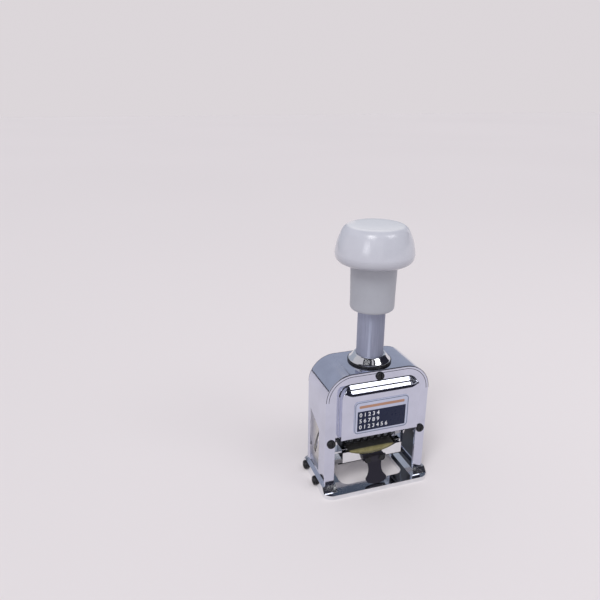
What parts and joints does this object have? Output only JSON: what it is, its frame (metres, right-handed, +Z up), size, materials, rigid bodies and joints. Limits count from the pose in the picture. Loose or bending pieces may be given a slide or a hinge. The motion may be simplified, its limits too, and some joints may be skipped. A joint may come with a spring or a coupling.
{
  "type": "numbering machine",
  "caption": "Hand numbering machine: a chromed frame with a sprung plunger that presses number wheels through a window in its base while the ink pad swings clear",
  "frame": {"origin": "centre of the base's underside, on the table", "axes": "+Z up along the stem, -Y to the front with the label, +X to the right seen from the front"},
  "size_m": [0.0652, 0.0394, 0.1415],
  "materials": {
    "chrome": "bright chromium plate",
    "steel": "plain ground steel",
    "stem": "fine turned and nickel plated",
    "black_screw": "blackened steel",
    "label": "printed plate",
    "cap_plastic": "glossy moulded plastic",
    "grip_plastic": "satin moulded plastic",
    "felt": "dry felt",
    "tab_plastic": "dark moulded plastic",
    "wheel": "blackened steel"
  },
  "bodies": {
    "frame": {"casing_shell": "chrome", "front_plate": "chrome", "label_plate": "label", "plate_screws": "black_screw", "back_plate": "chrome", "back_screws": "black_screw", "base_frame": "chrome", "base_screws": "black_screw", "guide_collar": "chrome", "collar_nut": "steel", "stop_pin": "steel", "spring_seat": "steel", "return_spring": "steel", "left_cam_plate": "steel", "right_cam_plate": "steel"},
    "plunger": {"knob_cap": "cap_plastic", "knob_grip": "grip_plastic", "knob_stud": "steel", "stem_tube": "stem", "spring_plug": "steel", "stem_screws": "black_screw", "slider_bridge": "steel", "left_cheek": "chrome", "right_cheek": "chrome", "cheek_rivets": "steel", "wheel_axle": "steel", "axle_clips": "black_screw", "detent_comb": "steel"},
    "ink_pad": {"pad_tray": "chrome", "ink_felt": "felt", "pad_tab": "tab_plastic", "left_pad_arm": "chrome", "right_pad_arm": "chrome", "cam_pins": "steel", "pad_rivets": "steel"},
    "pawls": {"pawl_yoke": "steel", "pawl_comb": "black_screw"},
    "selector": {"repeat_selector": "black_screw"},
    "wheel_1": {"number_wheel_1": "wheel"},
    "wheel_2": {"number_wheel_2": "wheel"},
    "wheel_3": {"number_wheel_3": "wheel"},
    "wheel_4": {"number_wheel_4": "wheel"},
    "wheel_5": {"number_wheel_5": "wheel"},
    "wheel_6": {"number_wheel_6": "wheel"},
    "wheel_7": {"number_wheel_7": "wheel"}
  },
  "joints": [
    {"name": "plunger_slide", "type": "slide", "parent": "frame", "child": "plunger", "axis": [0, 0, -1], "range_m": [0, 0.021], "stiffness_N_per_m": 600, "springref_m": -0.02, "deforming": ["return_spring"]},
    {"name": "ink_pad_swing", "type": "hinge", "parent": "plunger", "child": "ink_pad", "pos_m": [0, 0, 0.031], "axis": [-1, 0, 0], "range_deg": [0, 94]},
    {"name": "pawl_rock", "type": "hinge", "parent": "plunger", "child": "pawls", "pos_m": [0, 0, 0.031], "axis": [-1, 0, 0], "range_deg": [0, 30]},
    {"name": "selector_turn", "type": "hinge", "parent": "plunger", "child": "selector", "pos_m": [-0.013, 0.0079, 0.0503], "axis": [0, 1, 0], "range_deg": [-135, 135]},
    {"name": "wheel_1_turn", "type": "hinge", "parent": "plunger", "child": "wheel_1", "pos_m": [-0.012, 0, 0.031], "axis": [1, 0, 0], "continuous": true},
    {"name": "wheel_2_turn", "type": "hinge", "parent": "plunger", "child": "wheel_2", "pos_m": [-0.008, 0, 0.031], "axis": [1, 0, 0], "continuous": true},
    {"name": "wheel_3_turn", "type": "hinge", "parent": "plunger", "child": "wheel_3", "pos_m": [-0.004, 0, 0.031], "axis": [1, 0, 0], "continuous": true},
    {"name": "wheel_4_turn", "type": "hinge", "parent": "plunger", "child": "wheel_4", "pos_m": [0, 0, 0.031], "axis": [1, 0, 0], "continuous": true},
    {"name": "wheel_5_turn", "type": "hinge", "parent": "plunger", "child": "wheel_5", "pos_m": [0.004, 0, 0.031], "axis": [1, 0, 0], "continuous": true},
    {"name": "wheel_6_turn", "type": "hinge", "parent": "plunger", "child": "wheel_6", "pos_m": [0.008, 0, 0.031], "axis": [1, 0, 0], "continuous": true},
    {"name": "wheel_7_turn", "type": "hinge", "parent": "plunger", "child": "wheel_7", "pos_m": [0.012, 0, 0.031], "axis": [1, 0, 0], "continuous": true}
  ],
  "couplings": [
    {"joint": "ink_pad_swing", "follows": "plunger_slide", "rad_per_m": 78.124},
    {"joint": "pawl_rock", "follows": "plunger_slide", "rad_per_m": 24.933}
  ]
}
